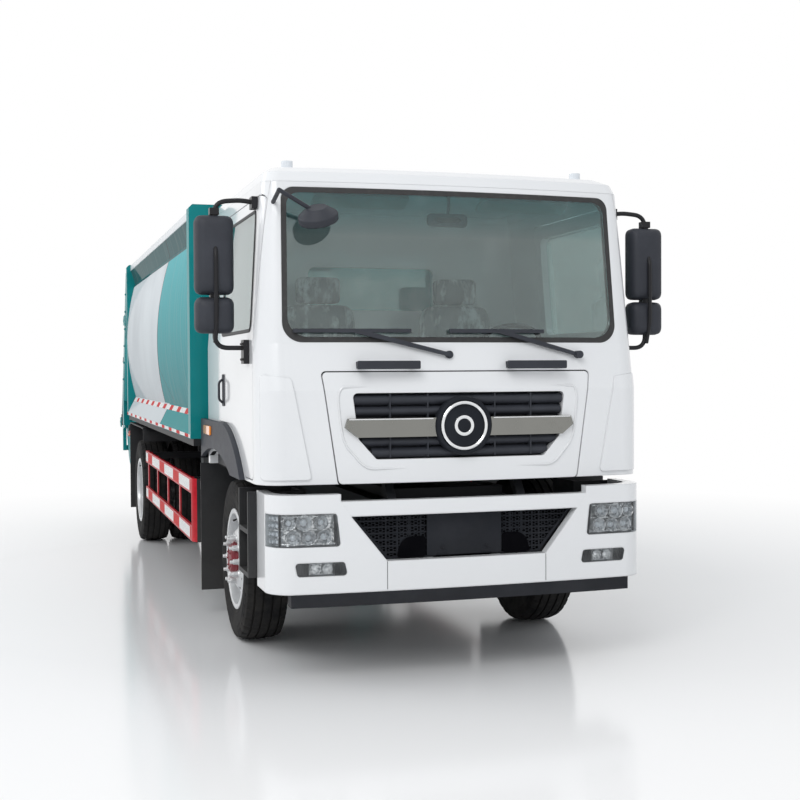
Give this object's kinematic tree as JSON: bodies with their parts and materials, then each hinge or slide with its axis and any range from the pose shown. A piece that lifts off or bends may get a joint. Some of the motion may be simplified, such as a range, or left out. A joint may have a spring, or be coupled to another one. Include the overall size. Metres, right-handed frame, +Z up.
{
  "type": "rear-loading garbage truck",
  "caption": "Rear-loading garbage truck with a tilting cab, bulging body, lifting tailgate, packer blade and bin lifter, with rolling and steered wheels.",
  "frame": {"origin": "on the ground in the middle of the truck's outline", "axes": "+Y towards the tail, the front faces -Y, +X is the vehicle's left, +Z up"},
  "size_m": [2.88, 9, 2.9656],
  "materials": {
    "frame_black": "satin black paint on frame steel",
    "body_teal": "gloss teal paint",
    "guard_red": "gloss red paint",
    "bumper_white": "gloss white paint",
    "cab_white": "gloss white paint",
    "trim_dark": "moulded dark grey plastic",
    "lamp_clear": "clear lamp lens",
    "body_floor_steel": "dark painted floor steel",
    "body_silver": "silver paint",
    "tyre": "worn black tyre",
    "rim_silver": "silver painted steel",
    "glass": "green-tinted glass",
    "seal_rubber": "black rubber",
    "lamp_amber": "amber lens",
    "seat_fabric": "grey woven seat cover",
    "chrome_bar": "polished chrome",
    "hopper_steel": "scuffed grey paint",
    "cylinder_black": "black paint"
  },
  "bodies": {
    "chassis": {"front_axle": "frame_black", "rear_axle": "frame_black", "leaf_springs": "frame_black", "frame_rails": "frame_black", "engine_block": "frame_black", "side_tanks": "frame_black", "front_mudflaps": "frame_black", "rear_fenders": "frame_black", "underrun_bar": "frame_black", "cab_mounts": "frame_black", "side_boxes": "body_teal", "body_frames": "body_teal", "body_rails": "body_teal", "side_guards": "guard_red", "bumper": "bumper_white", "bumper_trim": "trim_dark", "cab_steps": "trim_dark", "lamps": "lamp_clear", "body_floor": "body_floor_steel", "body_sides": "body_silver", "body_roof": "body_silver"},
    "knuckle_l": {"knuckle_left": "frame_black"},
    "knuckle_r": {"knuckle_right": "frame_black"},
    "wheel_fl": {"tyre_front_left": "tyre", "wheel_front_left": "rim_silver"},
    "wheel_fr": {"tyre_front_right": "tyre", "wheel_front_right": "rim_silver"},
    "wheel_rl": {"tyres_rear_left": "tyre", "wheels_rear_left": "rim_silver"},
    "wheel_rr": {"tyres_rear_right": "tyre", "wheels_rear_right": "rim_silver"},
    "cab": {"cab_roof": "cab_white", "cab_front": "cab_white", "cab_sides": "cab_white", "cab_rear": "cab_white", "cab_floor": "cab_white", "cab_glass": "glass", "screen_seal": "seal_rubber", "cab_trim": "trim_dark", "dashboard": "trim_dark", "roof_lamps": "lamp_amber", "seat_cushions": "seat_fabric"},
    "door_left": {"door_left": "cab_white", "door_glass_left": "glass", "mirror_left": "trim_dark"},
    "door_right": {"door_right": "cab_white", "door_glass_right": "glass", "mirror_right": "trim_dark"},
    "lid": {"front_lid": "cab_white", "grille_slats": "trim_dark", "grille_bar": "chrome_bar"},
    "tailgate": {"tailgate_shell": "body_teal", "hopper_trough": "hopper_steel"},
    "packer": {"packer_panel": "hopper_steel"},
    "blade": {"packer_blade": "hopper_steel"},
    "barrels": {"lift_barrels": "cylinder_black"},
    "rods": {"lift_rods": "chrome_bar"},
    "lifter": {"bin_lifter": "body_teal"}
  },
  "joints": [
    {"name": "steer_left", "type": "hinge", "parent": "chassis", "child": "knuckle_l", "pos_m": [0.79, -3.085, 0.51], "axis": [0, 0, 1], "range_deg": [-35, 35]},
    {"name": "steer_right", "type": "hinge", "parent": "chassis", "child": "knuckle_r", "pos_m": [-0.79, -3.085, 0.51], "axis": [0, 0, 1], "range_deg": [-35, 35]},
    {"name": "spin_front_left", "type": "hinge", "parent": "knuckle_l", "child": "wheel_fl", "pos_m": [0.952, -3.085, 0.51], "axis": [1, 0, 0], "continuous": true},
    {"name": "spin_front_right", "type": "hinge", "parent": "knuckle_r", "child": "wheel_fr", "pos_m": [-0.952, -3.085, 0.51], "axis": [1, 0, 0], "continuous": true},
    {"name": "spin_rear_left", "type": "hinge", "parent": "chassis", "child": "wheel_rl", "pos_m": [0.932, 1.915, 0.51], "axis": [1, 0, 0], "continuous": true},
    {"name": "spin_rear_right", "type": "hinge", "parent": "chassis", "child": "wheel_rr", "pos_m": [-0.932, 1.915, 0.51], "axis": [1, 0, 0], "continuous": true},
    {"name": "cab_tilt", "type": "hinge", "parent": "chassis", "child": "cab", "pos_m": [0, -4.385, 0.88], "axis": [1, 0, 0], "range_deg": [0, 45]},
    {"name": "door_left", "type": "hinge", "parent": "cab", "child": "door_left", "pos_m": [1.15, -4.185, 1.9], "axis": [0, 0, -1], "range_deg": [0, 70]},
    {"name": "door_right", "type": "hinge", "parent": "cab", "child": "door_right", "pos_m": [-1.15, -4.185, 1.9], "axis": [0, 0, 1], "range_deg": [0, 70]},
    {"name": "lid_hinge", "type": "hinge", "parent": "cab", "child": "lid", "pos_m": [0, -4.395, 1.706], "axis": [-1, 0, 0], "range_deg": [0, 75]},
    {"name": "tailgate_hinge", "type": "hinge", "parent": "chassis", "child": "tailgate", "pos_m": [0, 2.939, 2.93], "axis": [1, 0, 0], "range_deg": [0, 85]},
    {"name": "lift_barrels", "type": "hinge", "parent": "chassis", "child": "barrels", "pos_m": [0, 3.02, 1.5], "axis": [-1, 0, 0], "range_deg": [0, 2.62]},
    {"name": "lift_rods", "type": "slide", "parent": "barrels", "child": "rods", "axis": [0, 0.0038, 1], "range_m": [0, 0.1805]},
    {"name": "packer_slide", "type": "slide", "parent": "tailgate", "child": "packer", "axis": [0, -0.3697, 0.9291], "range_m": [0, 0.25]},
    {"name": "packer_blade", "type": "hinge", "parent": "packer", "child": "blade", "pos_m": [0, 3.465, 1.62], "axis": [1, 0, 0], "range_deg": [0, 85]},
    {"name": "bin_lifter", "type": "hinge", "parent": "tailgate", "child": "lifter", "pos_m": [0, 4.215, 1.06], "axis": [1, 0, 0], "range_deg": [0, 105]}
  ],
  "couplings": [
    {"joint": "steer_right", "follows": "steer_left", "ratio": 1},
    {"joint": "lift_barrels", "follows": "tailgate_hinge", "ratio": 0.025},
    {"joint": "lift_rods", "follows": "tailgate_hinge", "m_per_rad": 0.121}
  ]
}
